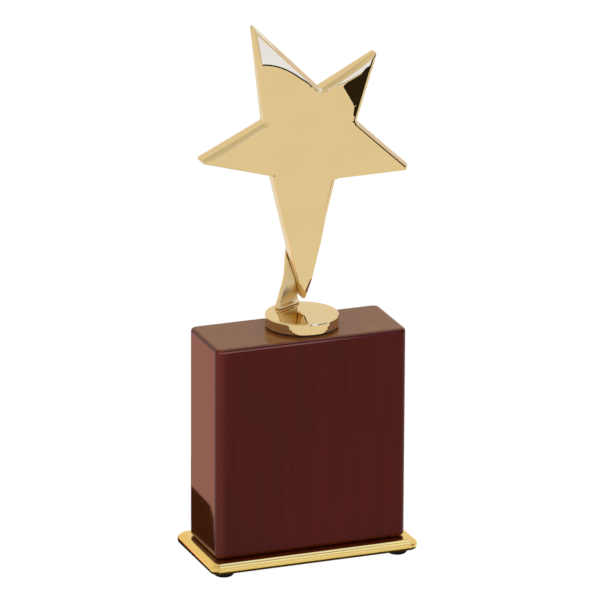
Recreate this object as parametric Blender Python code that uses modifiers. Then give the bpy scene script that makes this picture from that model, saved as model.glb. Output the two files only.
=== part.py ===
"""Star trophy: a tall polished gold star on a rear leg, a turned gold disc, a lacquered
hardwood block and a moulded gold base plate on four rubber feet.

Frame: +Z up, the star's face looks along -Y, +X to the right. The origin is on the
standing surface, under the middle of the whole trophy's outline. Dimensions below are in
millimetres, and are measured from the middle of the block; one parent shifts them all.
"""
import math

import bmesh
import bpy
from mathutils import Matrix, Vector

MM = 0.001

# ---------------------------------------------------------------- driving dimensions
GAP = 0.25                      # clearance between neighbouring solids
ORIGIN_X = 3.351                # the star reaches further to the right than the base

FOOT_H, FOOT_R = 2.75, 5.5
FOOT_X, FOOT_Y = 46.0, 18.8

PLATE_W, PLATE_D = 109.9, 54.9
PLATE_Z0, PLATE_Z1 = 3.0, 8.4
PLATE_CORNER_R = 5.0

BLOCK_W, BLOCK_D = 100.0, 40.5
BLOCK_Z0, BLOCK_Z1 = 8.65, 117.7
BLOCK_CORNER_R, BLOCK_EDGE_R = 3.5, 1.8

DISC_X, DISC_Y = 2.5, 1.5       # the disc sits a little off the middle of the block
DISC_R = 18.33
PAD_R, PAD_Z0, PAD_Z1 = 17.6, 117.95, 118.35
DISC_Z0, DISC_Z1 = 118.6, 124.45

ROD_R = 3.0                     # M6 tie rod
ROD_HOLE_R = 3.5
ROD_Z0, ROD_Z1 = 11.0, 122.2
COUNTERBORE_R, COUNTERBORE_Z1 = 10.0, 22.0

SCREW_X, SCREW_Y = 36.0, 11.5   # wood screws that hold the base plate

STAR_X, STAR_Z = 9.7, 210.9     # centre of the star
STAR_BACK_Y, STAR_RIM_Y, STAR_FACE_Y = 17.8, 11.0, 9.5
STAR_NOTCH_R = 25.8
STAR_BEVEL = 1.7
# Corners clockwise from the tall upper arm: radius from the centre, angle, fillet.
STAR_CORNERS = (
    (67.5, 115.7, 0.9),         # upper left tip
    (STAR_NOTCH_R, 76.4, 1.2),
    (53.2, 48.9, 1.2),          # upper right tip
    (STAR_NOTCH_R, 15.2, 1.2),
    (59.0, 338.75, 2.0),        # right tip
    (STAR_NOTCH_R, 302.5, 1.5),
    (72.5, 270.95, 6.0),        # the long arm narrows faster near its end
    (84.55, 267.8, 1.0),        # lower tip
    (STAR_NOTCH_R, 221.3, 1.2),
    (58.5, 185.9, 1.0),         # left tip
    (STAR_NOTCH_R, 155.8, 1.2),
)

LEG_SCREW_X = 7.4
LEG_SCREW_Z = (159.0, 168.5)
# Leg sections from the foot up: height, front left corner, front right corner,
# thickness at the left, thickness at the right.
LEG_SECTIONS = (
    (127.3, (-5.30, 10.60), (5.30, 15.50), 3.2, 2.6),
    (129.7, (-4.30, 11.60), (5.50, 16.10), 3.2, 2.9),
    (132.6, (-3.00, 12.70), (6.50, 17.10), 3.2, 3.0),
    (137.0, (-0.80, 14.10), (8.00, 18.20), 3.1, 3.0),
    (141.7, (0.45, 15.90), (10.00, 18.60), 3.0, 3.0),
    (146.0, (0.85, 17.30), (12.00, 18.50), 3.0, 3.0),
    (152.5, (1.00, 18.20), (13.20, 18.25), 3.0, 3.0),
    (172.0, (1.60, 18.20), (13.60, 18.20), 3.0, 3.0),
    (173.4, (2.60, 18.20), (12.60, 18.20), 2.4, 2.4),
)
LEG_FLANGE_OUT, LEG_FLANGE_EDGE = 1.4, 1.0
LEG_PIN_R = 0.8


# ---------------------------------------------------------------- scene and materials
for obj in list(bpy.data.objects):
    bpy.data.objects.remove(obj, do_unlink=True)

parts = bpy.data.collections.new("star_trophy")
cutters = bpy.data.collections.new("cutters")
bpy.context.scene.collection.children.link(parts)
bpy.context.scene.collection.children.link(cutters)
cutters.hide_render = True


def material(name, colour, roughness, metallic, coat=0.0):
    mat = bpy.data.materials.new(name)
    mat.use_nodes = True
    shader = mat.node_tree.nodes["Principled BSDF"]
    shader.inputs["Base Color"].default_value = (*colour, 1.0)
    shader.inputs["Roughness"].default_value = roughness
    shader.inputs["Metallic"].default_value = metallic
    shader.inputs["Coat Weight"].default_value = coat
    mat.diffuse_color = (*colour, 1.0)
    return mat


GOLD = material("gold_star", (0.83, 0.63, 0.30), 0.08, 1.0)
GOLD_LEG = material("gold_leg", (0.82, 0.61, 0.29), 0.10, 1.0)
GOLD_DISC = material("gold_disc", (0.80, 0.60, 0.29), 0.10, 1.0)
GOLD_PLATE = material("gold_plate", (0.80, 0.58, 0.25), 0.14, 1.0)
WOOD = material("rosewood_lacquer", (0.075, 0.011, 0.009), 0.25, 0.0, 1.0)
PAD = material("brown_pad", (0.03, 0.018, 0.010), 0.85, 0.0)
STEEL = material("zinc_steel", (0.62, 0.63, 0.65), 0.30, 1.0)
PIN_STEEL = material("pin_steel", (0.55, 0.55, 0.57), 0.25, 1.0)
NUT_STEEL = material("nut_steel", (0.60, 0.60, 0.58), 0.35, 1.0)
SCREW_BRASS = material("screw_brass", (0.72, 0.52, 0.22), 0.28, 1.0)
RUBBER = material("black_rubber", (0.012, 0.012, 0.012), 0.65, 0.0)


# ---------------------------------------------------------------- modelling helpers
def object_from(bm, name, mat, collection=parts):
    bmesh.ops.recalc_face_normals(bm, faces=bm.faces)
    mesh = bpy.data.meshes.new(name)
    bm.to_mesh(mesh)
    bm.free()
    mesh.shade_smooth()
    mesh.set_sharp_from_angle(angle=math.radians(28))
    obj = bpy.data.objects.new(name, mesh)
    collection.objects.link(obj)
    if mat:
        mesh.materials.append(mat)
    return obj


def helper(obj):
    obj.hide_render = True
    obj.display_type = "WIRE"
    return obj


def cut(target, *tools):
    for tool in tools:
        modifier = target.modifiers.new("cut_" + tool.name, "BOOLEAN")
        modifier.operation = "DIFFERENCE"
        modifier.object = tool


def loft(name, rings, mat):
    """One closed body through rings of equal point count, each end closed by a face."""
    bm = bmesh.new()
    loops = [[bm.verts.new(Vector(p) * MM) for p in ring] for ring in rings]
    count = len(loops[0])
    for low, high in zip(loops, loops[1:]):
        for i in range(count):
            j = (i + 1) % count
            bm.faces.new((low[i], low[j], high[j], high[i]))
    bm.faces.new(loops[0][::-1])
    bm.faces.new(loops[-1])
    return object_from(bm, name, mat)


def turned(name, profile, mat, x=0.0, y=0.0, steps=48, closed=False, collection=parts):
    """A profile of (radius, height) points, listed down its outer side, turned about Z."""
    mesh = bpy.data.meshes.new(name)
    edges = [(i, i + 1) for i in range(len(profile) - 1)]
    if closed:
        edges.append((len(profile) - 1, 0))
    mesh.from_pydata([(r * MM, 0, z * MM) for r, z in profile], edges, [])
    obj = bpy.data.objects.new(name, mesh)
    collection.objects.link(obj)
    obj.location = (x * MM, y * MM, 0)
    screw = obj.modifiers.new("turn", "SCREW")
    screw.axis = "Z"
    screw.steps = screw.render_steps = steps
    screw.use_merge_vertices = True
    screw.merge_threshold = 0.00001
    screw.use_smooth_shade = True
    if mat:
        mesh.materials.append(mat)
    return obj


def bore(name, radius, low, high, x, y, steps=32):
    """An upright cylinder that cuts a hole."""
    bm = bmesh.new()
    bmesh.ops.create_cone(
        bm, cap_ends=True, segments=steps, radius1=radius * MM, radius2=radius * MM,
        depth=(high - low) * MM,
        matrix=Matrix.Translation(Vector((x, y, (low + high) / 2)) * MM))
    return helper(object_from(bm, name, None, cutters))


def bore_y(name, radius, front, back, x, z, steps=24):
    """A cylinder along Y that cuts a hole."""
    bm = bmesh.new()
    bmesh.ops.create_cone(
        bm, cap_ends=True, segments=steps, radius1=radius * MM, radius2=radius * MM,
        depth=(back - front) * MM,
        matrix=Matrix.Translation(Vector((x, (front + back) / 2, z)) * MM)
        @ Matrix.Rotation(math.radians(90), 4, "X"))
    return helper(object_from(bm, name, None, cutters))


def rounded_rectangle(width, depth, radius, z, steps=6):
    points = []
    for sx, sy, start in ((1, 1, 0), (-1, 1, 90), (-1, -1, 180), (1, -1, 270)):
        cx, cy = sx * (width / 2 - radius), sy * (depth / 2 - radius)
        for k in range(steps + 1):
            a = math.radians(start + 90 * k / steps)
            points.append((cx + radius * math.cos(a), cy + radius * math.sin(a), z))
    return points


def inset_corners(corners, inset):
    """Corners of a clockwise outline after each edge moves inwards by the inset."""
    count = len(corners)
    lines = []
    for i in range(count):
        a, b = Vector(corners[i][:2]), Vector(corners[(i + 1) % count][:2])
        along = (b - a).normalized()
        inward = Vector((along.y, -along.x))
        lines.append((a + inward * inset, along))
    moved = []
    for i in range(count):
        (p, u), (q, v) = lines[i - 1], lines[i]
        cross = u.x * v.y - u.y * v.x
        t = ((q - p).x * v.y - (q - p).y * v.x) / cross
        moved.append(p + u * t)
    return moved


def filleted_outline(corners, inset=0.0, steps=5):
    """The outline with every corner replaced by an arc. Corner radii shrink with the
    inset on outer corners and grow on inner ones, as on a machined bevel."""
    moved = inset_corners(corners, inset)
    count = len(moved)
    points = []
    for i in range(count):
        before, here, after = moved[i - 1], moved[i], moved[(i + 1) % count]
        u, v = (before - here).normalized(), (after - here).normalized()
        half = math.acos(max(-1.0, min(1.0, u.dot(v)))) / 2
        inner = (here - before).x * (after - here).y - (here - before).y * (after - here).x > 0
        radius = max(corners[i][2] + (inset if inner else -inset), 0.25)
        centre = here + (u + v).normalized() * (radius / math.sin(half))
        first = here + u * (radius / math.tan(half)) - centre
        last = here + v * (radius / math.tan(half)) - centre
        a0 = math.atan2(first.y, first.x)
        turn = math.atan2(last.y, last.x) - a0
        turn = (turn + math.pi) % (2 * math.pi) - math.pi
        for k in range(steps + 1):
            a = a0 + turn * k / steps
            points.append((centre.x + radius * math.cos(a), centre.y + radius * math.sin(a)))
    return points


# ---------------------------------------------------------------- feet and base plate
def foot(name, x, y):
    profile = [(0, FOOT_H), (FOOT_R, FOOT_H), (FOOT_R, FOOT_H - 0.7),
               (FOOT_R - 0.45, 0.9), (FOOT_R - 1.0, 0.25), (FOOT_R - 1.5, 0.0), (0, 0.0)]
    return turned(name, profile, RUBBER, x, y, steps=36)


for side, sx in (("left", -1), ("right", 1)):
    for end, sy in (("front", -1), ("rear", 1)):
        foot(f"foot_{end}_{side}", sx * FOOT_X, sy * FOOT_Y)


def plate_ring(inset, z):
    return rounded_rectangle(PLATE_W - 2 * inset, PLATE_D - 2 * inset,
                             PLATE_CORNER_R - min(inset, 3.4) * 0.9, z, steps=7)


plate_profile = [
    (1.6, PLATE_Z0), (0.55, PLATE_Z0 + 0.35), (0.1, PLATE_Z0 + 1.1), (0.0, PLATE_Z0 + 2.0),
    (0.15, PLATE_Z0 + 2.9), (0.7, PLATE_Z0 + 3.7), (1.5, PLATE_Z0 + 4.1),
    (2.2, PLATE_Z0 + 4.1), (2.6, PLATE_Z0 + 4.7), (3.1, PLATE_Z0 + 5.2), (3.7, PLATE_Z1),
]
base_plate = loft("base_plate", [plate_ring(i, z) for i, z in plate_profile], GOLD_PLATE)

# ---------------------------------------------------------------- hardwood block
bm = bmesh.new()
bmesh.ops.create_cube(bm, size=1.0)
bmesh.ops.scale(bm, vec=Vector((BLOCK_W, BLOCK_D, BLOCK_Z1 - BLOCK_Z0)) * MM, verts=bm.verts)
bmesh.ops.translate(bm, vec=Vector((0, 0, (BLOCK_Z0 + BLOCK_Z1) / 2)) * MM, verts=bm.verts)
upright = [e for e in bm.edges if abs(e.verts[0].co.z - e.verts[1].co.z) > 0.01]
bmesh.ops.bevel(bm, geom=upright, offset=BLOCK_CORNER_R * MM, offset_type="OFFSET",
                segments=7, profile=0.5, affect="EDGES")
rim = [e for e in bm.edges if abs(e.verts[0].co.z - e.verts[1].co.z) < 1e-6
       and (abs(e.verts[0].co.z - BLOCK_Z1 * MM) < 1e-6 or abs(e.verts[0].co.z - BLOCK_Z0 * MM) < 1e-6)
       and e.is_manifold and e.calc_face_angle() > 1.0]
bmesh.ops.bevel(bm, geom=rim, offset=BLOCK_EDGE_R * MM, offset_type="OFFSET",
                segments=4, profile=0.5, affect="EDGES")
wood_block = object_from(bm, "wood_block", WOOD)

cut(wood_block,
    bore("block_through", ROD_HOLE_R, BLOCK_Z0 - 5, BLOCK_Z1 + 5, DISC_X, DISC_Y),
    bore("block_counterbore", COUNTERBORE_R, BLOCK_Z0 - 5, COUNTERBORE_Z1, DISC_X, DISC_Y, 40))

# ---------------------------------------------------------------- pad and turned disc
PAD_HOLE_R = 3.6
turned("disc_pad", [(PAD_R, PAD_Z1), (PAD_R, PAD_Z0), (PAD_HOLE_R, PAD_Z0), (PAD_HOLE_R, PAD_Z1)],
       PAD, DISC_X, DISC_Y, steps=64, closed=True)

disc_profile = [
    (0, DISC_Z1), (DISC_R - 0.7, DISC_Z1), (DISC_R - 0.33, DISC_Z1 - 0.09),
    (DISC_R - 0.09, DISC_Z1 - 0.33), (DISC_R, DISC_Z1 - 0.7),
    (DISC_R, DISC_Z0 + 0.4), (DISC_R - 0.4, DISC_Z0), (ROD_R + GAP + 0.1, DISC_Z0),
    (ROD_R + GAP + 0.1, ROD_Z1 + GAP), (0, ROD_Z1 + GAP + 0.8),
]
pedestal_disc = turned("pedestal_disc", disc_profile, GOLD_DISC, DISC_X, DISC_Y, steps=80)

# ---------------------------------------------------------------- tie rod and its nut
turned("tie_rod", [(0, ROD_Z1), (ROD_R - 0.6, ROD_Z1), (ROD_R, ROD_Z1 - 0.6),
                   (ROD_R, ROD_Z0 + 0.6), (ROD_R - 0.6, ROD_Z0), (0, ROD_Z0)],
       STEEL, DISC_X, DISC_Y, steps=32)
WASHER_Z1 = COUNTERBORE_Z1 - GAP
turned("rod_washer", [(9.0, WASHER_Z1), (9.0, WASHER_Z1 - 1.6), (ROD_R + GAP + 0.15, WASHER_Z1 - 1.6),
                      (ROD_R + GAP + 0.15, WASHER_Z1)],
       STEEL, DISC_X, DISC_Y, steps=48, closed=True)
LOCK_Z1 = WASHER_Z1 - 1.6 - GAP
lock_washer = turned("rod_lock_washer",
                     [(5.6, LOCK_Z1), (5.6, LOCK_Z1 - 1.6), (ROD_R + GAP + 0.1, LOCK_Z1 - 1.6),
                      (ROD_R + GAP + 0.1, LOCK_Z1)],
                     PIN_STEEL, DISC_X, DISC_Y, steps=40, closed=True)
bm = bmesh.new()
bmesh.ops.create_cube(bm, size=1.0)
bmesh.ops.scale(bm, vec=Vector((6.0, 1.0, 4.0)) * MM, verts=bm.verts)
bmesh.ops.rotate(bm, verts=bm.verts, matrix=Matrix.Rotation(math.radians(25), 3, "X"))
bmesh.ops.translate(bm, vec=Vector((DISC_X + 5.0, DISC_Y, LOCK_Z1 - 0.8)) * MM, verts=bm.verts)
cut(lock_washer, helper(object_from(bm, "lock_washer_split", None, cutters)))

NUT_Z1 = LOCK_Z1 - 1.6 - GAP
NUT_H, NUT_FLATS = 5.0, 10.0
bm = bmesh.new()
bmesh.ops.create_cone(bm, cap_ends=True, segments=6, radius1=NUT_FLATS / math.sqrt(3) * MM,
                      radius2=NUT_FLATS / math.sqrt(3) * MM, depth=NUT_H * MM,
                      matrix=Matrix.Translation(Vector((DISC_X, DISC_Y, NUT_Z1 - NUT_H / 2)) * MM))
bmesh.ops.bevel(bm, geom=[e for e in bm.edges if abs(e.verts[0].co.z - e.verts[1].co.z) < 1e-6],
                offset=0.4 * MM, offset_type="OFFSET", segments=1, affect="EDGES")
rod_nut = object_from(bm, "rod_nut", NUT_STEEL)
cut(rod_nut, bore("nut_hole", ROD_R + GAP + 0.05, NUT_Z1 - NUT_H - 2, NUT_Z1 + 2, DISC_X, DISC_Y))

# ---------------------------------------------------------------- screws of the base plate
SINK_R, SHANK_R = 3.6, 1.75
for side, sx in (("left", -1), ("right", 1)):
    for end, sy in (("front", -1), ("rear", 1)):
        x, y = sx * SCREW_X, sy * SCREW_Y
        z = PLATE_Z0 + 0.2
        turned(f"plate_screw_{end}_{side}",
               [(0, z + 17.5), (0.5, z + 16.6), (SHANK_R, z + 14.0), (SHANK_R, z + 2.0),
                (SINK_R - 0.15, z + 0.25), (SINK_R - 0.15, z), (1.0, z), (0.7, z + 0.9), (0, z + 0.9)],
               SCREW_BRASS, x, y, steps=24)
        cut(base_plate, bore(f"plate_hole_{end}_{side}", SHANK_R + 0.3, PLATE_Z0 - 3, PLATE_Z1 + 3, x, y, 24))
        sink = turned(f"plate_sink_{end}_{side}",
                      [(0, z + 2.4), (SHANK_R + 0.35, z + 2.3), (SINK_R + 0.35, z + 0.25),
                       (SINK_R + 0.35, PLATE_Z0 - 1), (0, PLATE_Z0 - 1)],
                      None, x, y, steps=24, collection=cutters)
        cut(base_plate, helper(sink))
        cut(wood_block, bore(f"block_hole_{end}_{side}", SHANK_R + 0.3, BLOCK_Z0 - 2, z + 18.2, x, y, 24))

# ---------------------------------------------------------------- star
corners = []
for radius, angle, fillet in STAR_CORNERS:
    a = math.radians(angle)
    corners.append((STAR_X + radius * math.cos(a), STAR_Z + radius * math.sin(a), fillet))


def star_ring(inset, y):
    return [(x, y, z) for x, z in filleted_outline(corners, inset)]


star_plate = loft("star_plate", [
    star_ring(0.35, STAR_BACK_Y), star_ring(0.0, STAR_BACK_Y - 0.35), star_ring(0.0, STAR_RIM_Y + 0.3),
    star_ring(0.15, STAR_RIM_Y), star_ring(STAR_BEVEL, STAR_FACE_Y), star_ring(2.4, STAR_FACE_Y - 0.22),
    star_ring(3.1, STAR_FACE_Y - 0.34)], GOLD)

# ---------------------------------------------------------------- rear leg
def leg_corners(front_left, front_right, thick_left, thick_right, grow=0.0):
    a, b = Vector(front_left), Vector(front_right)
    along = (b - a).normalized()
    back = Vector((-along.y, along.x))
    c, d = b + back * thick_right, a + back * thick_left
    quad = [a, b, c, d]
    if grow:
        quad = [a - along * grow - back * grow, b + along * grow - back * grow,
                c + along * grow + back * 0.4 * grow, d - along * grow + back * 0.4 * grow]
    return quad


def leg_ring(z, quad, radius, steps=4):
    points = []
    count = len(quad)
    for i in range(count):
        before, here, after = quad[i - 1], quad[i], quad[(i + 1) % count]
        u, v = (before - here).normalized(), (after - here).normalized()
        half = math.acos(max(-1.0, min(1.0, u.dot(v)))) / 2
        centre = here + (u + v).normalized() * (radius / math.sin(half))
        first = here + u * (radius / math.tan(half)) - centre
        last = here + v * (radius / math.tan(half)) - centre
        a0 = math.atan2(first.y, first.x)
        turn = (math.atan2(last.y, last.x) - a0 + math.pi) % (2 * math.pi) - math.pi
        for k in range(steps + 1):
            a = a0 + turn * k / steps
            points.append((centre.x + radius * math.cos(a), centre.y + radius * math.sin(a), z))
    return points


foot_z = DISC_Z1 + GAP
z1, a1, b1, tl1, tr1 = LEG_SECTIONS[0]
flange = leg_corners(a1, b1, tl1, tr1, grow=LEG_FLANGE_OUT)
leg_rings = [leg_ring(foot_z, flange, 0.8), leg_ring(foot_z + LEG_FLANGE_EDGE, flange, 0.8)]
leg_rings += [leg_ring(z, leg_corners(a, b, tl, tr), 0.6) for z, a, b, tl, tr in LEG_SECTIONS]
rear_leg = loft("rear_leg", leg_rings, GOLD_LEG)

# The long arm seats in the leg: the leg is cut back to clear the star's wall and back.
seat = loft("star_seat", [star_ring(-0.3, STAR_BACK_Y + 0.3), star_ring(-0.3, 2.0)], None)
parts.objects.unlink(seat)
cutters.objects.link(seat)
cut(rear_leg, helper(seat))

# Two dowel pins locate the leg's foot on the disc.
foot_a, foot_b = Vector(a1), Vector(b1)
across = (foot_b - foot_a).normalized()
back = Vector((-across.y, across.x))
for name, t in (("leg_pin_left", 0.25), ("leg_pin_right", 0.68)):
    thick = tl1 + (tr1 - tl1) * t
    spot = foot_a + (foot_b - foot_a) * t + back * thick / 2
    low, high = DISC_Z1 - 2.9, foot_z + 2.4
    turned(name, [(0, high), (LEG_PIN_R - 0.2, high), (LEG_PIN_R, high - 0.25), (LEG_PIN_R, low + 0.25),
                  (LEG_PIN_R - 0.2, low), (0, low)], PIN_STEEL, spot.x, spot.y, steps=20)
    hole = LEG_PIN_R + 0.25
    cut(rear_leg, bore(name + "_leg_hole", hole, foot_z - 1, high + 0.4, spot.x, spot.y, 20))
    cut(pedestal_disc, bore(name + "_disc_hole", hole, low - 0.3, DISC_Z1 + 1, spot.x, spot.y, 20))

# Two pan-head screws hold the leg to the star's back.
LEG_BACK_Y = 21.3
for name, z in (("leg_screw_lower", LEG_SCREW_Z[0]), ("leg_screw_upper", LEG_SCREW_Z[1])):
    # turned about Z with the head up, then tipped so that the head looks along +Y
    profile = [(0, 1.35), (0.55, 1.35), (0.9, 2.1), (2.0, 1.9), (2.7, 1.0), (2.75, 0.0), (1.5, 0.0),
               (1.5, -6.6), (1.1, -7.2), (0, -7.2)]
    screw = turned(name, profile, STEEL, steps=24)
    screw.rotation_euler = (math.radians(-90), 0, 0)
    screw.location = Vector((LEG_SCREW_X, LEG_BACK_Y + GAP + 0.05, z)) * MM
    cut(rear_leg, bore_y(name + "_leg_hole", 1.8, 17.0, 23.0, LEG_SCREW_X, z))
    cut(star_plate, bore_y(name + "_star_hole", 1.8, LEG_BACK_Y + GAP - 7.6, 19.0, LEG_SCREW_X, z))

# ---------------------------------------------------------------- one parent for all
base = bpy.data.objects.new("trophy_origin", None)
parts.objects.link(base)
base.location = (-ORIGIN_X * MM, 0, 0)
for obj in list(parts.objects) + list(cutters.objects):
    if obj is not base:
        obj.parent = base
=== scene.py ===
import math

import bpy
import bmesh
import numpy as np
from mathutils import Matrix, Vector
from mathutils.geometry import delaunay_2d_cdt


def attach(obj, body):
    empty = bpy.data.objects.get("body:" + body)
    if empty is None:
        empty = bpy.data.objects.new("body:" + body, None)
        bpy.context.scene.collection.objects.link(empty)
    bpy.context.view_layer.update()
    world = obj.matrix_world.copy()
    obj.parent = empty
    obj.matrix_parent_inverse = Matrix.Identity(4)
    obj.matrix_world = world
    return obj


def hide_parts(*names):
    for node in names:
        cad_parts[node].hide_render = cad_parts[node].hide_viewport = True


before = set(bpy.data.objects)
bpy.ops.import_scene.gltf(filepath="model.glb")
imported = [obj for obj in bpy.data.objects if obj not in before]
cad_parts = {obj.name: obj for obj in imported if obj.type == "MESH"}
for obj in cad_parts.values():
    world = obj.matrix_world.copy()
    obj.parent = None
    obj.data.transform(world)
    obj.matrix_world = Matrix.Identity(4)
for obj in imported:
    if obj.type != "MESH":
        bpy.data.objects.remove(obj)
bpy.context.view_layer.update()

scene = bpy.context.scene
scene.view_settings.view_transform = "Standard"
scene.view_settings.look = "None"
MM = 0.001


# ---------------------------------------------------------------- camera
def make_camera():
    az, el, roll = math.radians(21.05), math.radians(18.72), math.radians(0.27)
    back = Vector((-math.sin(az) * math.cos(el), -math.cos(az) * math.cos(el), math.sin(el)))
    right = Vector((math.cos(az), -math.sin(az), 0.0))
    up = back.cross(right)
    right2 = right * math.cos(roll) + up * math.sin(roll)
    up2 = up * math.cos(roll) - right * math.sin(roll)
    data = bpy.data.cameras.new("camera")
    data.sensor_width = 36.0
    data.lens = 454.8
    data.clip_start, data.clip_end = 0.1, 60.0
    cam = bpy.data.objects.new("camera", data)
    scene.collection.objects.link(cam)
    m = Matrix((right2, up2, back)).transposed().to_4x4()
    m.translation = Vector((-1.272578, -3.300196, 1.330121))
    cam.matrix_world = m
    scene.camera = cam


make_camera()


# ---------------------------------------------------------------- node helpers
class Nodes:
    """Short calls for building one material's node tree."""

    def __init__(self, name):
        self.mat = bpy.data.materials.new(name)
        self.mat.use_nodes = True
        self.tree = self.mat.node_tree
        self.shader = self.tree.nodes["Principled BSDF"]
        self.coords = None

    def new(self, kind, **values):
        node = self.tree.nodes.new(kind)
        for key, value in values.items():
            setattr(node, key, value)
        return node

    def link(self, a, b):
        self.tree.links.new(a, b)

    def place(self, scale=(1, 1, 1)):
        if self.coords is None:
            self.coords = self.new("ShaderNodeTexCoord")
        mapping = self.new("ShaderNodeMapping")
        mapping.inputs["Scale"].default_value = scale
        self.link(self.coords.outputs["Object"], mapping.inputs["Vector"])
        return mapping.outputs["Vector"]

    def noise(self, scale, size=1.0, detail=3.0, rough=0.55, distortion=0.0):
        node = self.new("ShaderNodeTexNoise")
        self.link(self.place(scale), node.inputs["Vector"])
        node.inputs["Scale"].default_value = size
        node.inputs["Detail"].default_value = detail
        node.inputs["Roughness"].default_value = rough
        node.inputs["Distortion"].default_value = distortion
        return node.outputs["Fac"]

    def ramp(self, fac, stops):
        node = self.new("ShaderNodeValToRGB")
        band = node.color_ramp
        while len(band.elements) < len(stops):
            band.elements.new(0.5)
        for element, (at, colour) in zip(band.elements, stops):
            element.position = at
            element.color = (*colour, 1.0) if len(colour) == 3 else colour
        self.link(fac, node.inputs["Fac"])
        return node.outputs["Color"]

    def span(self, fac, low, high, to_low, to_high):
        node = self.new("ShaderNodeMapRange")
        node.inputs["From Min"].default_value = low
        node.inputs["From Max"].default_value = high
        node.inputs["To Min"].default_value = to_low
        node.inputs["To Max"].default_value = to_high
        self.link(fac, node.inputs["Value"])
        return node.outputs["Result"]

    def mix(self, fac, a, b, blend="MIX"):
        node = self.new("ShaderNodeMix", data_type="RGBA", blend_type=blend)
        if isinstance(fac, float):
            node.inputs["Factor"].default_value = fac
        else:
            self.link(fac, node.inputs["Factor"])
        for socket, value in ((node.inputs[6], a), (node.inputs[7], b)):
            if isinstance(value, tuple):
                socket.default_value = (*value, 1.0)
            else:
                self.link(value, socket)
        return node.outputs[2]

    def bump(self, height, distance, strength=1.0):
        node = self.new("ShaderNodeBump")
        node.inputs["Strength"].default_value = strength
        node.inputs["Distance"].default_value = distance
        self.link(height, node.inputs["Height"])
        self.link(node.outputs["Normal"], self.shader.inputs["Normal"])

    def set(self, **values):
        for key, value in values.items():
            self.shader.inputs[key.replace("_", " ")].default_value = value


def gold(name, colour, rough=(0.03, 0.06), wave=0.00004, wear=0.04):
    """Polished gold plating: faint cloudiness in the gloss, slow ripples from buffing."""
    n = Nodes(name)
    cloud = n.noise((1, 1, 1), 60.0, 4.0)
    deep = tuple(c * (1 - wear) for c in colour)
    n.link(n.ramp(cloud, [(0.3, deep), (0.7, colour)]), n.shader.inputs["Base Color"])
    n.link(n.span(n.noise((1, 1, 1), 140.0, 5.0), 0.3, 0.7, rough[0], rough[1]),
           n.shader.inputs["Roughness"])
    n.set(Metallic=1.0)
    n.bump(n.noise((1, 1, 1), 45.0, 1.0, 0.3), wave, 1.0)
    return n.mat


def lacquered_wood():
    """Dark red hardwood with fine upright grain under clear gloss lacquer, plus painted light: a paler
    top, painted highlights on the front edges and painted shade on the left face.
    """
    n = Nodes("rosewood_lacquer_fine")
    fine = n.noise((1400, 1400, 22), 1.0, 4.0, 0.6, 0.15)
    broad = n.noise((150, 150, 7), 1.0, 3.0, 0.55, 0.4)
    glow = n.noise((16, 16, 9), 1.0, 2.0, 0.5)
    base = n.ramp(fine, [(0.30, (0.062, 0.0030, 0.0004)), (0.5, (0.072, 0.0038, 0.0006)),
                         (0.70, (0.084, 0.0050, 0.0010))])
    band = n.ramp(broad, [(0.35, (0.88, 0.86, 0.86)), (0.65, (1.03, 1.0, 1.0))])
    warm = n.ramp(glow, [(0.35, (0.88, 0.86, 0.86)), (0.7, (1.12, 1.0, 0.95))])
    wood = n.mix(1.0, n.mix(1.0, base, band, "MULTIPLY"), warm, "MULTIPLY")
    # painted light: the upward-facing top is made paler and warmer, following the grain bands
    facing = n.new("ShaderNodeSeparateXYZ")
    n.link(n.new("ShaderNodeNewGeometry").outputs["Normal"], facing.inputs["Vector"])
    where = n.new("ShaderNodeSeparateXYZ")
    n.link(n.coords.outputs["Object"], where.inputs["Vector"])
    top = n.ramp(facing.outputs["Z"], [(0.60, (0, 0, 0)), (0.72, (0.034, 0.026, 0.018)),
                                       (0.85, (0.080, 0.050, 0.018)), (1.0, (0.118, 0.058, 0.012))])
    top = n.mix(1.0, top, band, "MULTIPLY")
    # painted highlight: a pale line on the rounding of the front top edge, fading out towards the right
    # end
    line = n.ramp(facing.outputs["Z"], [(0.04, (0, 0, 0)), (0.20, (0.130, 0.068, 0.052)),
                                        (0.42, (0, 0, 0))])
    front = n.span(facing.outputs["Y"], -0.80, -0.6, 1.0, 0.0)
    line = n.mix(front, (0.0, 0.0, 0.0), line)
    line = n.mix(n.span(where.outputs["X"], 0.0, 0.024, 1.0, 0.0), (0.0, 0.0, 0.0), line)
    # painted highlight: a thin red glint down the rounding of the front-left upright edge
    corner = n.mix(n.span(where.outputs["X"], -0.0512, -0.0485, 1.0, 0.0), (0.0, 0.0, 0.0),
                   (0.040, 0.011, 0.007))
    corner = n.mix(n.span(facing.outputs["Y"], -0.5, -0.1, 1.0, 0.0), (0.0, 0.0, 0.0), corner)
    # painted shade: the face turned to the left is darkened, more in red than in blue
    side = n.span(facing.outputs["X"], -0.998, -0.97, 1.0, 0.0)
    wood = n.mix(side, wood, n.mix(1.0, wood, (0.36, 0.55, 0.9), "MULTIPLY"))
    for extra in (top, line, corner):
        wood = n.mix(1.0, wood, extra, "ADD")
    n.link(wood, n.shader.inputs["Base Color"])
    n.link(n.span(broad, 0.3, 0.7, 0.035, 0.06), n.shader.inputs["Roughness"])
    n.set(Metallic=0.0, IOR=1.22, Sheen_Weight=0.36, Sheen_Roughness=0.30,
          Sheen_Tint=(1.0, 0.34, 0.08, 1.0))
    n.bump(n.noise((500, 500, 14), 1.0, 2.0, 0.5), 0.0000025, 0.6)
    return n.mat


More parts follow.
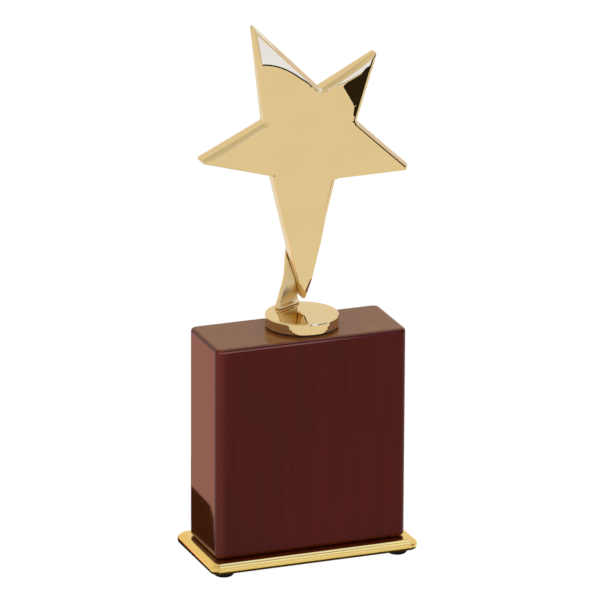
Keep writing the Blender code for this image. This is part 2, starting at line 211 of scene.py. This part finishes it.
def steel(name, colour, rough):
    """Zinc-plated steel: fine turned streaks and a patchy dull shine."""
    n = Nodes(name)
    streak = n.noise((900, 900, 4000), 1.0, 2.0)
    n.link(n.ramp(streak, [(0.3, tuple(c * 0.82 for c in colour)), (0.7, colour)]),
           n.shader.inputs["Base Color"])
    n.link(n.span(n.noise((1, 1, 1), 300.0), 0.3, 0.7, rough, rough + 0.12),
           n.shader.inputs["Roughness"])
    n.set(Metallic=1.0)
    n.bump(streak, 0.00001, 0.5)
    return n.mat


def rubber():
    n = Nodes("black_rubber_fine")
    grain = n.noise((1, 1, 1), 2600.0, 3.0)
    n.link(n.ramp(grain, [(0.3, (0.006, 0.006, 0.006)), (0.7, (0.016, 0.0155, 0.015))]),
           n.shader.inputs["Base Color"])
    n.link(n.span(grain, 0.3, 0.7, 0.5, 0.72), n.shader.inputs["Roughness"])
    n.bump(grain, 0.00003, 0.5)
    return n.mat


def brown_pad():
    n = Nodes("brown_pad_fine")
    fibre = n.noise((1, 1, 1), 1800.0, 4.0)
    n.link(n.ramp(fibre, [(0.3, (0.018, 0.010, 0.006)), (0.7, (0.04, 0.024, 0.014))]),
           n.shader.inputs["Base Color"])
    n.link(n.span(fibre, 0.3, 0.7, 0.75, 0.95), n.shader.inputs["Roughness"])
    n.bump(fibre, 0.00005, 0.7)
    return n.mat


GOLD = (0.735, 0.548, 0.265)
MATERIALS = {
    "gold_star": gold("gold_star_fine", GOLD, (0.012, 0.03), 0.000012),
    "gold_leg": gold("gold_leg_fine", GOLD, (0.30, 0.36), 0.00002),
    "gold_disc": gold("gold_disc_fine", GOLD, (0.02, 0.04), 0.00006),
    "gold_plate": gold("gold_plate_fine", (0.80, 0.55, 0.150), (0.16, 0.21), 0.00002),
    "rosewood_lacquer": lacquered_wood(),
    "brown_pad": brown_pad(),
    "zinc_steel": steel("zinc_steel_fine", (0.62, 0.63, 0.65), 0.26),
    "pin_steel": steel("pin_steel_fine", (0.55, 0.55, 0.57), 0.22),
    "nut_steel": steel("nut_steel_fine", (0.60, 0.60, 0.58), 0.30),
    "screw_brass": steel("screw_brass_fine", (0.72, 0.52, 0.22), 0.25),
    "black_rubber": rubber(),
}
SLOT_OF = {
    "star_plate": "gold_star", "rear_leg": "gold_leg", "pedestal_disc": "gold_disc",
    "leg_screw_upper": "zinc_steel", "leg_screw_lower": "zinc_steel", "tie_rod": "zinc_steel",
    "rod_washer": "zinc_steel", "leg_pin_left": "pin_steel", "leg_pin_right": "pin_steel",
    "rod_lock_washer": "pin_steel", "rod_nut": "nut_steel", "disc_pad": "brown_pad",
    "wood_block": "rosewood_lacquer", "base_plate": "gold_plate",
}
for node_name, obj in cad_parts.items():
    key = SLOT_OF.get(node_name)
    if key is None:
        key = "black_rubber" if node_name.startswith("foot") else "screw_brass"
    for material_slot in obj.material_slots:
        material_slot.material = MATERIALS[key]


def face_outwards(mesh):
    bm = bmesh.new()
    bm.from_mesh(mesh)
    bmesh.ops.recalc_face_normals(bm, faces=bm.faces)
    if bm.calc_volume(signed=True) < 0:
        bmesh.ops.reverse_faces(bm, faces=bm.faces)
    bm.to_mesh(mesh)
    bm.free()


# ---------------------------------------------------------------- star
STAR_X, STAR_Z = 6.349, 210.9
STAR_BACK = 17.8
STAR_CORNERS = ((67.5, 115.7, 0.9), (25.8, 76.4, 1.2), (55.1, 48.1, 0.9), (25.8, 15.2, 1.2),
                (59.0, 338.75, 2.0), (25.8, 302.5, 1.5), (72.5, 270.95, 6.0), (84.55, 267.8, 1.0),
                (25.8, 221.3, 1.2), (58.5, 185.9, 1.0), (25.8, 155.8, 1.2))


def star_corners():
    return [(r * 0.9994 * math.cos(math.radians(a)), r * 0.9994 * math.sin(math.radians(a)), f)
            for r, a, f in STAR_CORNERS]


def inset_corners(corners, inset):
    count = len(corners)
    lines = []
    for i in range(count):
        a, b = Vector(corners[i][:2]), Vector(corners[(i + 1) % count][:2])
        along = (b - a).normalized()
        lines.append((a + Vector((along.y, -along.x)) * inset, along))
    moved = []
    for i in range(count):
        (p, u), (q, v) = lines[i - 1], lines[i]
        cross = u.x * v.y - u.y * v.x
        t = ((q - p).x * v.y - (q - p).y * v.x) / cross
        moved.append(p + u * t)
    return moved


def star_outline(inset, steps=9, spacing=1.3):
    """The star's outline as a loop of points, arcs at the corners and even steps between.
    Every inset gives the same number of points."""
    corners = star_corners()
    moved = inset_corners(corners, inset)
    count = len(moved)
    arcs = []
    for i in range(count):
        before, here, after = moved[i - 1], moved[i], moved[(i + 1) % count]
        u, v = (before - here).normalized(), (after - here).normalized()
        half = math.acos(max(-1.0, min(1.0, u.dot(v)))) / 2
        inner = (here - before).x * (after - here).y - (here - before).y * (after - here).x > 0
        radius = max(corners[i][2] + (inset if inner else -inset), 0.25)
        centre = here + (u + v).normalized() * (radius / math.sin(half))
        first = here + u * (radius / math.tan(half)) - centre
        last = here + v * (radius / math.tan(half)) - centre
        a0 = math.atan2(first.y, first.x)
        turn = math.atan2(last.y, last.x) - a0
        turn = (turn + math.pi) % (2 * math.pi) - math.pi
        arcs.append([(centre.x + radius * math.cos(a0 + turn * k / steps),
                      centre.y + radius * math.sin(a0 + turn * k / steps))
                     for k in range(steps + 1)])
    points = []
    for i in range(count):
        points += arcs[i]
        a, b = corners[i], corners[(i + 1) % count]
        pieces = max(2, round(math.dist(a[:2], b[:2]) / spacing))
        p, q = arcs[i][-1], arcs[(i + 1) % count][0]
        points += [(p[0] + (q[0] - p[0]) * k / pieces, p[1] + (q[1] - p[1]) * k / pieces)
                   for k in range(1, pieces)]
    return np.array(points)


def edge_distance(points, loop):
    """Distance from each point to the closed loop."""
    a = loop
    b = np.roll(loop, -1, axis=0)
    best = np.full(len(points), 1e9)
    for p, q in zip(a, b):
        along = q - p
        t = np.clip(((points - p) @ along) / max(along @ along, 1e-12), 0, 1)
        best = np.minimum(best, np.linalg.norm(points - (p + t[:, None] * along), axis=1))
    return best


def ramp_integral(s, start, full, slope):
    """Height gained along s when the slope climbs from 0 at start to its full value."""
    x = np.clip((s - start) / (full - start), 0, 1)
    inside = (full - start) * slope * (x ** 3 - 0.5 * x ** 4)
    return inside + np.clip(s - full, 0, None) * slope


OUTER = star_outline(0.0)


def front_height(points):
    """How far the front face lies behind its flat middle, in mm, at each (x, z) from the
    star's centre. The upper arms lean back, each about its own line."""
    x, z = points[:, 0], points[:, 1]
    bow = np.where(x < -12, 0.0186 * (x + 12) ** 2,
                   0.0112 * np.clip(x + 12, 0, 12.3) ** 2 + 0.13 * np.clip(x - 0.3, 0, 9))
    bow = np.where(z > 0, bow, 0.0)
    left = ramp_integral(0.503 * x + 0.864 * z + bow, 17.0, 30.0, math.tan(math.radians(12.6)))
    lean = np.clip((z - 1.0) / 33.0, 0, 1)
    lean = lean * lean * (3 - 2 * lean)
    left = left + 0.075 * lean * np.logaddexp(0, (-x - 1.0) / 2.0) * 2.0
    right = ramp_integral(0.85 * x + 0.53 * z, 24.0, 31.0, math.tan(math.radians(5.8)))
    rise = np.clip((z - 2.0) / 8.0, 0, 1)
    right = right * rise * rise * (3 - 2 * rise)
    w = np.clip((x - 3.5) / 5.0, 0, 1)
    w = w * w * (3 - 2 * w)
    # the right upper arm rolls back along its upper edge, more towards the tip
    nx, nz = -0.460, 0.888
    s_edge = (x - 6.07) * nx + (z - 25.1) * nz
    along = (x - 6.07) * 0.888 + (z - 25.1) * 0.460
    reach = 2.2 + np.clip(along / 30.0, 0, 1) * 3.2
    roll = ramp_integral(s_edge + reach + 1.7, 0.0, 3.6, math.tan(math.radians(11.5)))
    fade = np.clip(along / 6.0, 0, 1)
    roll = np.where((x > 5.0) & (z > 10.0), roll * fade * fade * (3 - 2 * fade), 0.0)
    # a shallow roll along the edges on the right side of the star
    s_side = (x - 24.9) * 0.957 - (z - 6.8) * 0.29
    side = ramp_integral(s_side + 5.2, 0.0, 2.5, math.tan(math.radians(5.0)))
    fade = np.clip((z - 5.0) / 6.0, 0, 1)
    side = side * fade * fade * (3 - 2 * fade)
    s_arm = (x - 24.9) * 0.684 + (z - 6.8) * 0.730
    down_arm = (x - 24.9) * 0.730 - (z - 6.8) * 0.684
    arm = ramp_integral(s_arm + 3.2, 0.0, 1.6, math.tan(math.radians(7.0)))
    fade = np.clip((8.5 - z) / 4.0, 0, 1) * np.clip((40.0 - down_arm) / 28.0, 0, 1)
    arm = np.where(x > 12.0, arm * fade, 0.0)
    return left * (1 - w), (right + roll + side + arm) * w


FRONT_Y = 9.25
BEVEL = ((2.40, 0.000), (2.20, 0.007), (2.00, 0.030), (1.80, 0.072), (1.60, 0.139), (1.40, 0.234),
         (1.20, 0.362), (0.85, 0.666), (0.50, 0.970), (0.35, 1.120), (0.20, 1.31), (0.06, 1.60),
         (0.0, 1.95))


def build_star():
    loops, verts = [], []

    def add(points, ys):
        start = len(verts)
        verts.extend((STAR_X + p[0], y, STAR_Z + p[1]) for p, y in zip(points, ys))
        loops.append(list(range(start, start + len(points))))

    ahead, behind = np.roll(OUTER, -1, axis=0), np.roll(OUTER, 1, axis=0)
    along = ahead - behind
    down = np.clip((along[:, 0] / np.linalg.norm(along, axis=1) * -1 - 0.45) / 0.4, 0, 1)
    low = np.clip((-40.0 - OUTER[:, 1]) / 14.0, 0, 1)
    down = np.maximum(down, low)
    down = down * down * (3 - 2 * down)
    for inset, deep in BEVEL:
        ring = star_outline(inset)
        left, right = front_height(ring)
        keep = 1 - 0.3 * min(1.0, deep / 1.6)
        add(ring, FRONT_Y + left + right * keep + deep * (1 - 0.72 * down))
    rim_y = np.array([verts[i][1] for i in loops[-1]])
    for share in (0.25, 0.5, 0.75):
        add(OUTER, rim_y + (STAR_BACK - 0.5 - rim_y) * share)
    for inset, y in ((0.0, STAR_BACK - 0.5), (0.12, STAR_BACK - 0.15), (0.45, STAR_BACK)):
        ring = star_outline(inset)
        add(ring, np.full(len(ring), y))

    faces = []
    for near, far in zip(loops, loops[1:]):
        for i in range(len(near)):
            j = (i + 1) % len(near)
            faces.append((near[i], near[j], far[j], far[i]))

    def fill(loop, inset, y_of, step, clear):
        ring = star_outline(inset)
        low, high = ring.min(0), ring.max(0)
        gx, gz = np.meshgrid(np.arange(low[0], high[0], step), np.arange(low[1], high[1], step))
        gx = gx + (np.arange(gx.shape[0]) % 2)[:, None] * step / 2
        grid = np.stack([gx.ravel(), gz.ravel()], 1)
        inside = np.zeros(len(grid), bool)
        for p, q in zip(ring, np.roll(ring, -1, axis=0)):
            crosses = (p[1] > grid[:, 1]) != (q[1] > grid[:, 1])
            at = p[0] + (grid[:, 1] - p[1]) / (q[1] - p[1] + 1e-12) * (q[0] - p[0])
            inside ^= crosses & (grid[:, 0] < at)
        grid = grid[inside & (edge_distance(grid, ring) > clear)]
        n = len(ring)
        start = len(verts)
        verts.extend((STAR_X + g[0], y, STAR_Z + g[1]) for g, y in zip(grid, y_of(grid)))
        every = [Vector(p) for p in ring] + [Vector(g) for g in grid]
        edges = [(i, (i + 1) % n) for i in range(n)]
        out_verts, _, out_faces, orig, _, _ = delaunay_2d_cdt(every, edges, [], 1, 1e-6)
        number = [o[0] if o[0] >= n else o[0] for o in orig]
        for face in out_faces:
            ids = [number[i] for i in face]
            faces.append(tuple(loop[i] if i < n else start + i - n for i in ids))
        return start, len(grid)

    front_start, front_count = fill(loops[0], BEVEL[0][0],
                                    lambda g: FRONT_Y + sum(front_height(g)), 0.8, 0.4)
    fill(loops[-1], 0.45, lambda g: np.full(len(g), STAR_BACK), 5.0, 2.0)

    mesh = bpy.data.meshes.new("star")
    mesh.from_pydata([(x * MM, y * MM, z * MM) for x, y, z in verts], [], faces)
    face_outwards(mesh)
    mesh.shade_smooth()
    normals = np.array([v.normal[:] for v in mesh.vertices])
    step = 0.02
    face_ids = list(range(front_start, front_start + front_count)) + loops[0]
    at = np.array([(verts[i][0] - STAR_X, verts[i][2] - STAR_Z) for i in face_ids])
    hx = (sum(front_height(at + (step, 0))) - sum(front_height(at - (step, 0)))) / (2 * step)
    hz = (sum(front_height(at + (0, step))) - sum(front_height(at - (0, step)))) / (2 * step)
    exact = np.stack([hx, -np.ones(len(hx)), hz], 1)
    exact /= np.linalg.norm(exact, axis=1)[:, None]
    normals[face_ids] = exact
    back_ids = [v.index for v in mesh.vertices if v.co.y > (STAR_BACK - 0.01) * MM]
    normals[back_ids] = (0, 1, 0)
    mesh.normals_split_custom_set_from_vertices([tuple(n) for n in normals])
    mesh.materials.append(MATERIALS["gold_star"])
    obj = bpy.data.objects.new("star", mesh)
    scene.collection.objects.link(obj)
    return obj


star = build_star()
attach(star, "root")
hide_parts("star_plate")


# ---------------------------------------------------------------- rear leg
ORIGIN_X = 3.351
# Upright stations of the leg: height, then the corners of its section in plan: front left,
# front right beside the star's arm, two corners of the step behind the arm, back right, back left.
LEG = (
    (124.72, (-6.3, 9.2), (6.8, 15.9), (6.75, 16.9), (6.7, 17.6), (6.0, 19.2), (-7.6, 13.0)),
    (125.10, (-6.3, 9.2), (6.8, 15.9), (6.75, 16.9), (6.7, 17.8), (6.0, 19.2), (-7.6, 13.0)),
    (126.60, (-5.9, 10.9), (6.4, 17.3), (6.4, 17.8), (6.4, 18.2), (5.8, 19.2), (-7.1, 13.4)),
    (129.00, (-4.9, 12.0), (5.6, 15.8), (5.6, 17.6), (5.8, 18.3), (5.3, 19.5), (-5.7, 14.5)),
    (132.60, (-3.4, 13.5), (4.85, 14.6), (4.85, 18.3), (6.6, 18.4), (6.2, 20.4), (-4.2, 15.7)),
    (137.00, (-1.7, 14.9), (3.78, 14.1), (3.78, 18.3), (8.0, 18.4), (7.6, 21.2), (-2.15, 17.1)),
    (141.70, (-0.4, 16.6), (2.68, 15.8), (2.68, 18.3), (10.0, 18.4), (9.8, 21.3), (-0.75, 18.8)),
    (146.00, (0.2, 17.9), (1.65, 17.6), (1.65, 18.3), (12.0, 18.3), (12.0, 21.3), (0.0, 20.2)),
    (150.00, (0.3, 18.1), (0.8, 18.2), (1.6, 18.25), (12.8, 18.25), (13.0, 21.3), (0.6, 21.1)),
    (156.00, (1.1, 18.2), (1.8, 18.2), (3.0, 18.2), (13.2, 18.2), (13.2, 21.3), (1.1, 21.3)),
    (171.60, (1.6, 18.2), (2.4, 18.2), (3.4, 18.2), (13.6, 18.2), (13.6, 21.3), (1.6, 21.3)),
    (173.20, (2.3, 18.3), (3.0, 18.2), (4.0, 18.2), (12.9, 18.3), (12.9, 21.2), (2.3, 21.2)),
)
LEG_FILLET = (0.9, 0.10, 0.10, 0.25, 0.9, 0.9)


def round_section(corners, fillets, steps=6):
    points = []
    count = len(corners)
    for i in range(count):
        before, here, after = (Vector(corners[i - 1]), Vector(corners[i]),
                               Vector(corners[(i + 1) % count]))
        u, v = before - here, after - here
        reach = min(fillets[i], 0.45 * u.length, 0.45 * v.length)
        a, b = here + u.normalized() * reach, here + v.normalized() * reach
        for k in range(steps + 1):
            t = k / steps
            p = a * (1 - t) ** 2 + here * 2 * t * (1 - t) + b * t ** 2
            points.append((p.x, p.y))
        # two points on the flat keep the rounding's shading off the face beside it
        other = min(fillets[(i + 1) % count], 0.45 * v.length)
        far = after - v.normalized() * other
        span = far - b
        guard = min(0.25, 0.3 * span.length)
        for p in (b + v.normalized() * guard, far - v.normalized() * guard):
            points.append((p.x, p.y))
    return points


def build_leg():
    heights = np.array([row[0] for row in LEG])
    values = np.array([[c for corner in row[1:] for c in corner] for row in LEG])
    slopes = np.zeros_like(values)
    h = np.diff(heights)
    d = np.diff(values, axis=0) / h[:, None]
    for i in range(1, len(heights) - 1):
        same = d[i - 1] * d[i] > 0
        w1, w2 = 2 * h[i] + h[i - 1], h[i] + 2 * h[i - 1]
        with np.errstate(divide="ignore", invalid="ignore"):
            mean = (w1 + w2) / (w1 / d[i - 1] + w2 / d[i])
        slopes[i] = np.where(same, mean, 0.0)
    slopes[0], slopes[-1] = 0.0, d[-1]
    rings = []
    levels = [124.72, 125.0, 125.2, 125.4, 125.7, 126.0, 126.3, 126.5, 126.7]
    levels += list(np.arange(127.2, 150.0, 0.6)) + list(np.arange(150.5, 171.5, 2.0))
    levels += [171.6, 172.1, 172.6, 173.0, 173.2]
    for z in levels:
        i = int(np.clip(np.searchsorted(heights, z, side="right") - 1, 0, len(heights) - 2))
        t = (z - heights[i]) / h[i]
        row = ((1 + 2 * t) * (1 - t) ** 2 * values[i] + t * (1 - t) ** 2 * h[i] * slopes[i]
               + t * t * (3 - 2 * t) * values[i + 1] + t * t * (t - 1) * h[i] * slopes[i + 1])
        corners = [(row[2 * k], row[2 * k + 1]) for k in range(6)]
        rings.append([((x - ORIGIN_X) * MM, y * MM, z * MM)
                      for x, y in round_section(corners, LEG_FILLET)])
    n = len(rings[0])
    verts = [p for ring in rings for p in ring]
    faces = [tuple(range(n)), tuple(range(len(verts) - 1, len(verts) - n - 1, -1))]
    for r in range(len(rings) - 1):
        for i in range(n):
            j = (i + 1) % n
            faces.append((r * n + i, r * n + j, (r + 1) * n + j, (r + 1) * n + i))
    mesh = bpy.data.meshes.new("leg")
    mesh.from_pydata(verts, [], faces)
    face_outwards(mesh)
    mesh.shade_smooth()
    mesh.set_sharp_from_angle(angle=math.radians(35))
    mesh.materials.append(MATERIALS["gold_leg"])
    obj = bpy.data.objects.new("leg", mesh)
    scene.collection.objects.link(obj)
    return obj


leg = build_leg()
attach(leg, "root")
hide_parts("rear_leg")


# ---------------------------------------------------------------- base plate
PLATE_W, PLATE_D, PLATE_R = 109.9, 54.9, 5.0
PLATE_BOTTOM, PLATE_TOP = 3.0, 8.4
SCREW_AT = [(x, y) for x in (-36.0, 36.0) for y in (-11.5, 11.5)]


def plate_profile():
    """(inset, height) from the underside up: a full bullnose, a shallow groove, a small bead."""
    rows = []
    for k in range(15):
        t = math.radians(90 * k / 14)
        rows.append((1.6 * (1 - math.sin(t)), 5.2 - 2.2 * math.cos(t)))
    for k in range(1, 17):
        t = math.radians(62 * k / 16)
        rows.append((1.9 * (1 - math.cos(t)), 5.2 + 2.4 * math.sin(t)))
    rows += [(1.25, 7.45), (1.50, 7.59), (1.73, 7.73), (1.92, 7.87)]
    for k in range(11):
        t = math.radians(25 + 65 * k / 10)
        rows.append((2.0 + 1.2 * (1 - math.cos(t)), 7.76 + 0.64 * math.sin(t)))
    rows.append((3.85, 8.4))
    return rows


def plate_ring(inset, z, steps=14):
    w, d, r = PLATE_W / 2 - inset, PLATE_D / 2 - inset, PLATE_R - min(inset, 3.4) * 0.9
    ring = []
    for sx, sy, start in ((1, 1, 0), (-1, 1, 90), (-1, -1, 180), (1, -1, 270)):
        for k in range(steps + 1):
            a = math.radians(start + 90 * k / steps)
            ring.append((sx * (w - r) + r * math.cos(a), sy * (d - r) + r * math.sin(a), z))
    return ring


def circle(x, y, r, z, steps=32):
    return [(x + r * math.cos(2 * math.pi * k / steps), y + r * math.sin(2 * math.pi * k / steps), z)
            for k in range(steps)]


def build_plate():
    verts, faces = [], []

    def add(ring):
        start = len(verts)
        verts.extend(ring)
        return list(range(start, start + len(ring)))

    def join(loops):
        for near, far in zip(loops, loops[1:]):
            for i in range(len(near)):
                j = (i + 1) % len(near)
                faces.append((near[i], near[j], far[j], far[i]))

    rim = [add(plate_ring(inset, z)) for inset, z in plate_profile()]
    join(rim)
    holes = []
    for x, y in SCREW_AT:
        holes.append([add(circle(x, y, r, z)) for r, z in
                      ((3.95, PLATE_BOTTOM), (3.95, 3.45), (2.1, 5.5), (2.05, 5.55), (2.05, PLATE_TOP))])
        join(holes[-1])
    for outer, inner in ((rim[0], [h[0] for h in holes]), (rim[-1], [h[-1] for h in holes])):
        loops = [outer] + inner
        ids = [i for loop in loops for i in loop]
        edges, start = [], 0
        for loop in loops:
            edges += [(start + k, start + (k + 1) % len(loop)) for k in range(len(loop))]
            start += len(loop)
        flat = [Vector(verts[i][:2]) for i in ids]
        _, _, cap, orig, _, _ = delaunay_2d_cdt(flat, edges, [], 1, 1e-6)
        for face in cap:
            corners = [ids[orig[i][0]] for i in face]
            cx = sum(verts[i][0] for i in corners) / len(corners)
            cy = sum(verts[i][1] for i in corners) / len(corners)
            if all(math.hypot(cx - x, cy - y) > 2.0 for x, y in SCREW_AT):
                if not any(set(corners) <= set(loop) for loop in inner):
                    faces.append(tuple(corners))
    mesh = bpy.data.meshes.new("plate")
    mesh.from_pydata([((x - ORIGIN_X) * MM, y * MM, z * MM) for x, y, z in verts], [], faces)
    face_outwards(mesh)
    mesh.shade_smooth()
    mesh.set_sharp_from_angle(angle=math.radians(32))
    mesh.materials.append(MATERIALS["gold_plate"])
    obj = bpy.data.objects.new("plate", mesh)
    scene.collection.objects.link(obj)
    return obj


plate = build_plate()
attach(plate, "root")
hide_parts("base_plate")


# ---------------------------------------------------------------- studio
def emitter(name, colour, strength):
    mat = bpy.data.materials.new(name)
    mat.use_nodes = True
    tree = mat.node_tree
    tree.nodes.clear()
    out = tree.nodes.new("ShaderNodeOutputMaterial")
    emission = tree.nodes.new("ShaderNodeEmission")
    emission.inputs["Color"].default_value = (*colour, 1.0)
    emission.inputs["Strength"].default_value = strength
    tree.links.new(emission.outputs[0], out.inputs["Surface"])
    return mat


def card(name, az, el, dist, strength, colour=(1, 1, 1), seen=True, centre=(0.006, 0.0, 0.225)):
    """A curved panel round the star. Angle 0 is straight in front, growing to the right."""
    bm = bmesh.new()
    nu, nv = max(2, int((az[1] - az[0]) / 4)), max(2, int((el[1] - el[0]) / 4))
    rows = []
    for j in range(nv + 1):
        e = math.radians(el[0] + (el[1] - el[0]) * j / nv)
        row = []
        for i in range(nu + 1):
            a = math.radians(az[0] + (az[1] - az[0]) * i / nu)
            row.append(bm.verts.new((centre[0] + dist * math.sin(a) * math.cos(e),
                                     centre[1] - dist * math.cos(a) * math.cos(e),
                                     centre[2] + dist * math.sin(e))))
        rows.append(row)
    for low, high in zip(rows, rows[1:]):
        for i in range(nu):
            bm.faces.new((low[i], low[i + 1], high[i + 1], high[i]))
    mesh = bpy.data.meshes.new(name)
    bm.to_mesh(mesh)
    bm.free()
    mesh.materials.append(emitter(name + "_light", colour, strength))
    obj = bpy.data.objects.new(name, mesh)
    scene.collection.objects.link(obj)
    obj.visible_camera = seen
    return obj


def polygon_card(name, corners, dist, strength, colour, centre=(0.006, 0.0, 0.225)):
    """A flat-shaded panel whose outline is given as (angle, elevation) corners."""
    bm = bmesh.new()
    points = []
    for az, el in corners:
        a, e = math.radians(az), math.radians(el)
        points.append(bm.verts.new((centre[0] + dist * math.sin(a), centre[1] - dist * math.cos(a),
                                    centre[2] + dist * math.tan(e))))
    bmesh.ops.triangulate(bm, faces=[bm.faces.new(points)])
    mesh = bpy.data.meshes.new(name)
    bm.to_mesh(mesh)
    bm.free()
    mesh.materials.append(emitter(name + "_light", colour, strength))
    obj = bpy.data.objects.new(name, mesh)
    scene.collection.objects.link(obj)
    obj.visible_camera = False
    return obj


def floor_patch(name, corners, z, strength, colour):
    """A patch lying on the floor that lights and is mirrored, but isn't seen directly."""
    bm = bmesh.new()
    points = [bm.verts.new((x, y, z)) for x, y in corners]
    bmesh.ops.triangulate(bm, faces=[bm.faces.new(points)])
    mesh = bpy.data.meshes.new(name)
    bm.to_mesh(mesh)
    bm.free()
    mesh.materials.append(emitter(name + "_light", colour, strength))
    obj = bpy.data.objects.new(name, mesh)
    scene.collection.objects.link(obj)
    obj.visible_camera = False


def make_floor():
    mesh = bpy.data.meshes.new("floor")
    r, n = 5.2, 96
    ring = [(r * math.cos(2 * math.pi * i / n), r * math.sin(2 * math.pi * i / n), 0.0)
            for i in range(n)]
    mesh.from_pydata(ring, [], [tuple(range(n))])
    mat = bpy.data.materials.new("floor")
    mat.use_nodes = True
    tree = mat.node_tree
    tree.nodes.clear()
    out = tree.nodes.new("ShaderNodeOutputMaterial")
    emission = tree.nodes.new("ShaderNodeEmission")
    diffuse = tree.nodes.new("ShaderNodeBsdfDiffuse")
    diffuse.inputs["Color"].default_value = (0.02, 0.02, 0.02, 1)
    add = tree.nodes.new("ShaderNodeAddShader")
    emission.inputs["Strength"].default_value = 1.0
    tree.links.new(emission.outputs[0], add.inputs[0])
    tree.links.new(diffuse.outputs[0], add.inputs[1])
    tree.links.new(add.outputs[0], out.inputs["Surface"])
    mesh.materials.append(mat)
    obj = bpy.data.objects.new("floor", mesh)
    scene.collection.objects.link(obj)


make_floor()
card("softbox_front", (9, 42), (-1.3, 11), 4.7, 1.0, (1.12, 1.42, 2.75))
card("flag_band", (6, 9), (-4, 9), 4.5, 0.16, (1.0, 0.8, 0.6), seen=False)
card("flag_low", (9, 31), (-2.7, -1.3), 4.4, 0.01, (1, 0.8, 0.6), seen=False)
polygon_card("flag_right", ((27.5, -15), (66, -15), (66, 4), (34, 4), (31, 2.6), (31, -2.7),
                            (29.5, -8)), 0.82, 0.03, (1.0, 0.72, 0.45))
card("softbox_right", (68, 100), (6, 45), 4.7, 0.97, (1.0, 0.99, 1.38))
card("softbox_foot", (80, 98), (27, 45), 4.5, 1.0, (1.12, 1.42, 2.6))
card("softbox_top", (10, 100), (47, 82), 4.6, 1.0, (1.12, 1.42, 2.6))
card("ceiling", (-180, 180), (48, 90), 4.8, 0.78)
card("backdrop", (105, 255), (-3, 40), 4.9, 1.0, (1.0, 0.96, 0.86))
# painted shadow: a dark strip on the floor along the left of the base stands in for the trophy's shadow
# there; it shows only in reflections
floor_patch("floor_painted_shadow", ((-0.0585, -0.06), (-0.060, -0.06), (-0.0691, 0.0254), (-0.0793, 0.0544),
                           (-0.0847, 0.0739), (-0.0853, 0.0886), (-0.0857, 0.102),
                           (-0.0862, 0.15), (-0.0585, 0.15)), 0.0008, 0.02, (1.0, 0.6, 0.4))
floor_patch("floor_warm", ((-0.060, -0.02), (-0.060, 0.06), (-0.20, 0.43), (-0.20, 0.335)),
            0.0004, 1.0, (2.2, 1.0, 0.76))
# painted shade: a dim patch just under the base plate stands in for the shade beneath it; it shows only
# in reflections
floor_patch("floor_under_painted_shade", ((-0.0625, -0.0322), (0.0550, -0.0322), (0.0550, 0.0300),
                            (-0.0625, 0.0300)), 0.0003, 0.05, (1.0, 0.75, 0.3))
floor_patch("floor_flag", [(0.006 + r * math.sin(math.radians(a)), -r * math.cos(math.radians(a)))
                           for r, a in ((0.47, 31), (0.80, 31), (0.80, 41), (0.80, 51), (0.80, 61),
                                        (0.47, 61), (0.47, 51), (0.47, 41))],
            0.0006, 0.03, (1.0, 0.72, 0.45))

world = bpy.data.worlds.new("studio")
world.use_nodes = True
world.node_tree.nodes["Background"].inputs["Color"].default_value = (0.9, 0.9, 0.9, 1)
world.node_tree.nodes["Background"].inputs["Strength"].default_value = 1.0
scene.world = world
